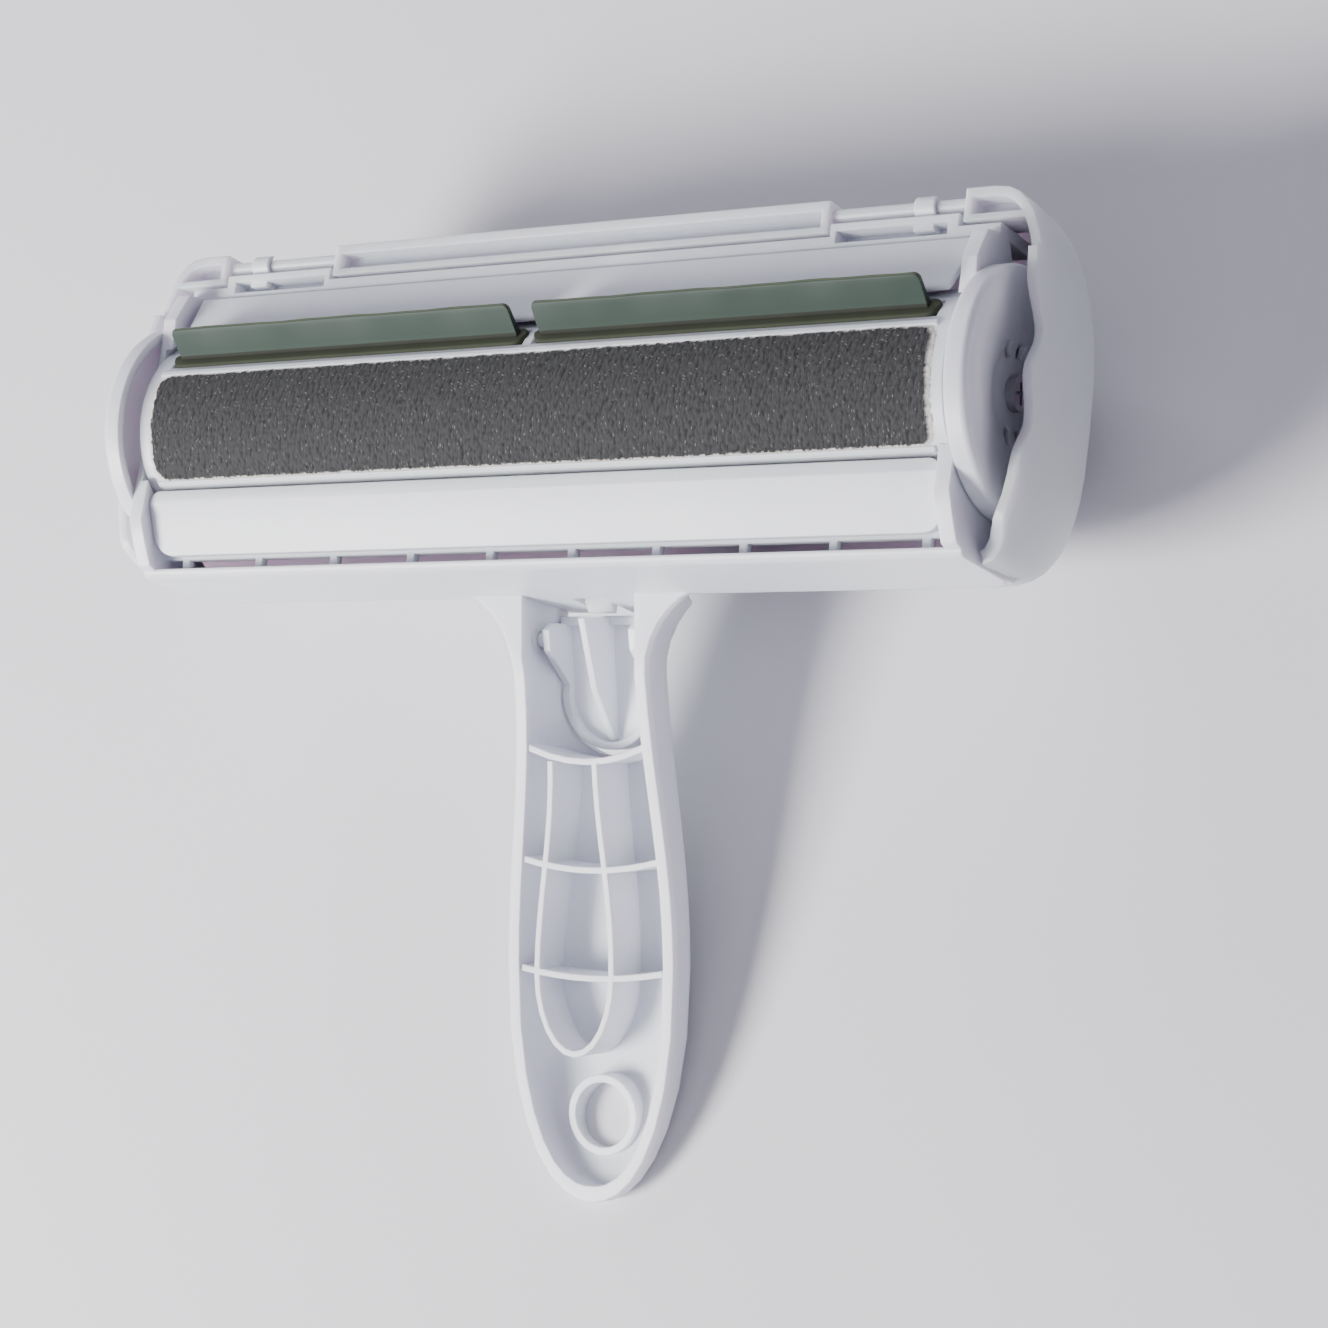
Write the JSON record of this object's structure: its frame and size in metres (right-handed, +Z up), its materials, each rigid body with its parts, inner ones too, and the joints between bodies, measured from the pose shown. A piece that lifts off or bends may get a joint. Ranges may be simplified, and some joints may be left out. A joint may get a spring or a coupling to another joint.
{
  "type": "pet hair removal brush",
  "caption": "Hand-held pet hair brush: a rocking velvet roller with rubber blades and end wheels, a hinged dust chamber and a ribbed open handle with a hanging hole.",
  "frame": {"origin": "centre of the bounding box at floor level, with the brush lying on its back", "axes": "+X along the head, toward the right end as seen from the working side with the handle below; +Y from the handle toward the lid's hinge; +Z up, out of the working side"},
  "size_m": [0.202, 0.1786, 0.0676],
  "materials": {
    "shell": "satin injection moulded ABS, cool off-white",
    "rubber": "soft moulded rubber, grey-green",
    "velvet": "short one-way lint velvet, dark warm grey",
    "steel": "zinc plated screw"
  },
  "bodies": {
    "frame": {"housing": "shell", "rear_bar": "shell", "front_panel": "shell"},
    "roller": {"drum": "shell", "drum_cap_left": "shell", "drum_cap_right": "shell", "fabric_pad": "velvet", "blade_front_left": "rubber", "blade_front_right": "rubber", "blade_rear_left": "rubber", "blade_rear_right": "rubber", "wheel_left": "shell", "wheel_right": "shell", "wheel_screw_left": "steel", "wheel_screw_right": "steel"},
    "chamber_lid": {"lid": "shell"},
    "button": {"release_button": "shell"}
  },
  "joints": [
    {"name": "roller_rock", "type": "hinge", "parent": "frame", "child": "roller", "pos_m": [0, 0.05311, 0.045], "axis": [-1, 0, 0], "range_deg": [0, 20.8], "deforming": ["blade_front_left", "blade_front_right", "blade_rear_left", "blade_rear_right"]},
    {"name": "lid_open", "type": "hinge", "parent": "frame", "child": "chamber_lid", "pos_m": [0, 0.08701, 0.0495], "axis": [1, 0, 0], "range_deg": [0, 100]},
    {"name": "button_press", "type": "hinge", "parent": "frame", "child": "button", "pos_m": [0, 0.01503, 0.02636], "axis": [-1, 0, 0], "range_deg": [0, 7], "stiffness_Nm_per_rad": 0.8}
  ]
}
